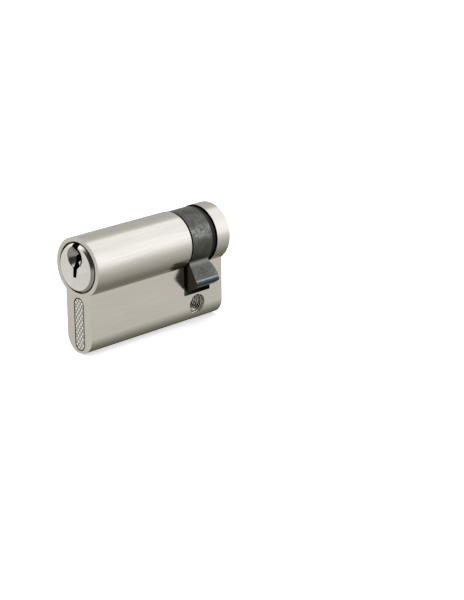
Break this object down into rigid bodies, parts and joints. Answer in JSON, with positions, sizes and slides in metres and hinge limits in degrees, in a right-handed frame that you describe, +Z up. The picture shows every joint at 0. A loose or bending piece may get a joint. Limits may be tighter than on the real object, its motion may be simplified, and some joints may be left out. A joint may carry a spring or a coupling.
{
  "type": "euro profile half cylinder",
  "caption": "Half cylinder for a euro profile mortice lock: a keyed plug in a round barrel on a flat stem, with a turning cam in its slot and a threaded fixing hole.",
  "frame": {"origin": "centre of the M5 fixing hole, half way through the stem's 10 mm width", "axes": "+Y along the barrel from the key's side to the rear, +Z up from the stem to the barrel, +X to the right seen from the key's side"},
  "size_m": [0.0183, 0.0508, 0.033],
  "materials": {
    "satin_nickel": "satin nickel plate on brass, brushed along the length",
    "bright_nickel": "fine turned nickel plate on brass",
    "dark_steel": "blackened sintered steel, mottled",
    "spring_steel": "bare spring steel",
    "pin_brass": "turned brass"
  },
  "bodies": {
    "housing": {"housing": "satin_nickel", "chamber_plug_1": "satin_nickel", "chamber_plug_2": "satin_nickel", "chamber_plug_3": "satin_nickel", "chamber_plug_4": "satin_nickel", "chamber_plug_5": "satin_nickel", "spring_1": "spring_steel", "spring_2": "spring_steel", "spring_3": "spring_steel", "spring_4": "spring_steel", "spring_5": "spring_steel"},
    "plug": {"plug": "bright_nickel", "retaining_clip": "spring_steel", "cam_coupling": "spring_steel"},
    "cam": {"cam": "dark_steel"},
    "key_pin_1": {"key_pin_1": "pin_brass"},
    "driver_pin_1": {"driver_pin_1": "spring_steel"},
    "key_pin_2": {"key_pin_2": "pin_brass"},
    "driver_pin_2": {"driver_pin_2": "spring_steel"},
    "key_pin_3": {"key_pin_3": "pin_brass"},
    "driver_pin_3": {"driver_pin_3": "spring_steel"},
    "key_pin_4": {"key_pin_4": "pin_brass"},
    "driver_pin_4": {"driver_pin_4": "spring_steel"},
    "key_pin_5": {"key_pin_5": "pin_brass"},
    "driver_pin_5": {"driver_pin_5": "spring_steel"}
  },
  "joints": [
    {"name": "plug_turn", "type": "hinge", "parent": "housing", "child": "plug", "pos_m": [0, 0, 0.01875], "axis": [0, 1, 0], "continuous": true},
    {"name": "cam_turn", "type": "hinge", "parent": "housing", "child": "cam", "pos_m": [0, 0, 0.01875], "axis": [0, 1, 0], "continuous": true},
    {"name": "key_pin_slide_1", "type": "slide", "parent": "plug", "child": "key_pin_1", "axis": [0, 0, 1], "range_m": [0, 0.0017]},
    {"name": "driver_pin_slide_1", "type": "slide", "parent": "housing", "child": "driver_pin_1", "axis": [0, 0, 1], "range_m": [-0.0012, 0], "stiffness_N_per_m": 200, "deforming": ["spring_1"]},
    {"name": "key_pin_slide_2", "type": "slide", "parent": "plug", "child": "key_pin_2", "axis": [0, 0, 1], "range_m": [0, 0.0007]},
    {"name": "driver_pin_slide_2", "type": "slide", "parent": "housing", "child": "driver_pin_2", "axis": [0, 0, 1], "range_m": [-0.0022, 0], "stiffness_N_per_m": 200, "deforming": ["spring_2"]},
    {"name": "key_pin_slide_3", "type": "slide", "parent": "plug", "child": "key_pin_3", "axis": [0, 0, 1], "range_m": [0, 0.0021]},
    {"name": "driver_pin_slide_3", "type": "slide", "parent": "housing", "child": "driver_pin_3", "axis": [0, 0, 1], "range_m": [-0.0008, 0], "stiffness_N_per_m": 200, "deforming": ["spring_3"]},
    {"name": "key_pin_slide_4", "type": "slide", "parent": "plug", "child": "key_pin_4", "axis": [0, 0, 1], "range_m": [0, 0.0003]},
    {"name": "driver_pin_slide_4", "type": "slide", "parent": "housing", "child": "driver_pin_4", "axis": [0, 0, 1], "range_m": [-0.0026, 0], "stiffness_N_per_m": 200, "deforming": ["spring_4"]},
    {"name": "key_pin_slide_5", "type": "slide", "parent": "plug", "child": "key_pin_5", "axis": [0, 0, 1], "range_m": [0, 0.0011]},
    {"name": "driver_pin_slide_5", "type": "slide", "parent": "housing", "child": "driver_pin_5", "axis": [0, 0, 1], "range_m": [-0.0018, 0], "stiffness_N_per_m": 200, "deforming": ["spring_5"]}
  ],
  "couplings": [
    {"joint": "cam_turn", "follows": "plug_turn", "ratio": 1}
  ]
}
